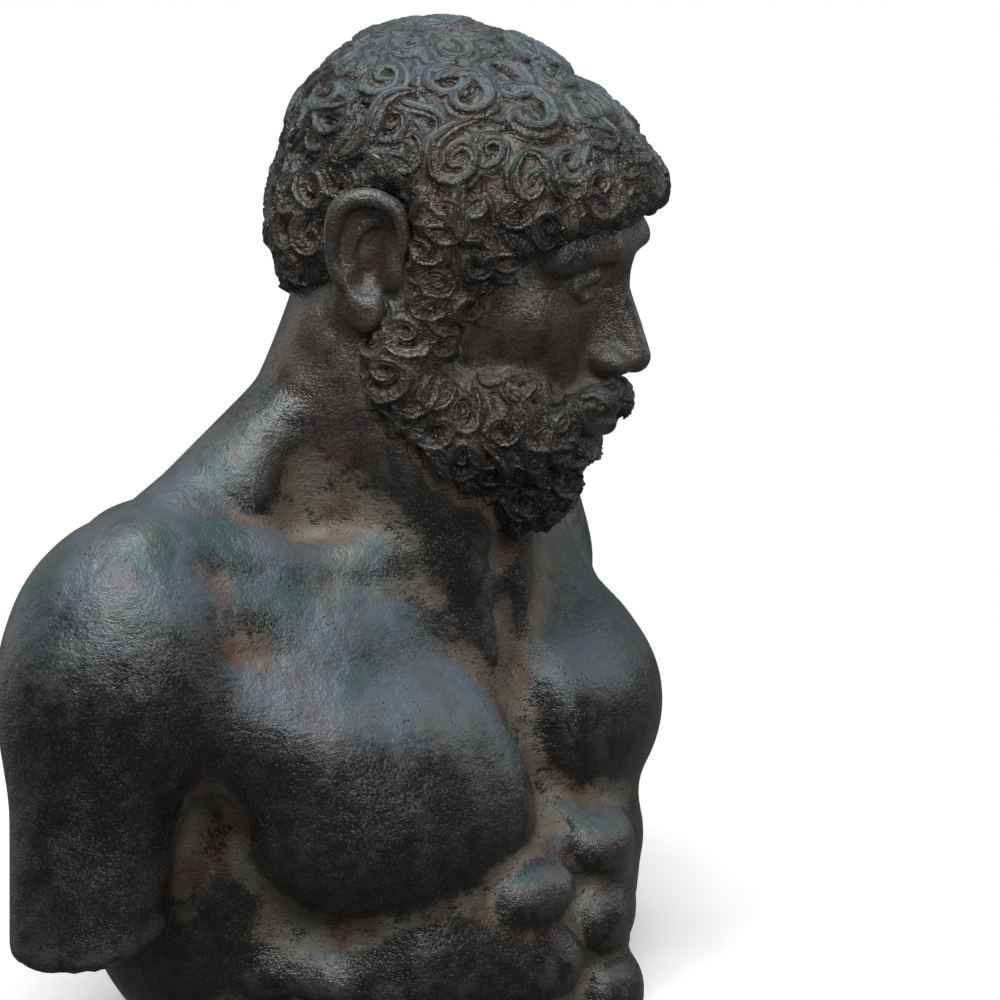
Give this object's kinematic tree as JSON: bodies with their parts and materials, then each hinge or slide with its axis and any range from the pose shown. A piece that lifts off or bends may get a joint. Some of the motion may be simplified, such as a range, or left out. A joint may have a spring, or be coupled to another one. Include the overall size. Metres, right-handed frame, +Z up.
{
  "type": "male bust statuette",
  "caption": "Dark bronze bust of a muscular bearded man with curly hair, head bowed and turned to his left",
  "frame": {"origin": "middle of the flat underside, on the surface that the bust stands on", "axes": "+Z up, the chest faces -Y, the figure's left is +X; the head is turned 15 degrees towards +X"},
  "size_m": [0.2619, 0.1547, 0.2788],
  "materials": {
    "bronze": "dark patinated bronze, satin with glossy worn spots"
  },
  "bodies": {
    "root": {"bust": "bronze"}
  },
  "joints": []
}
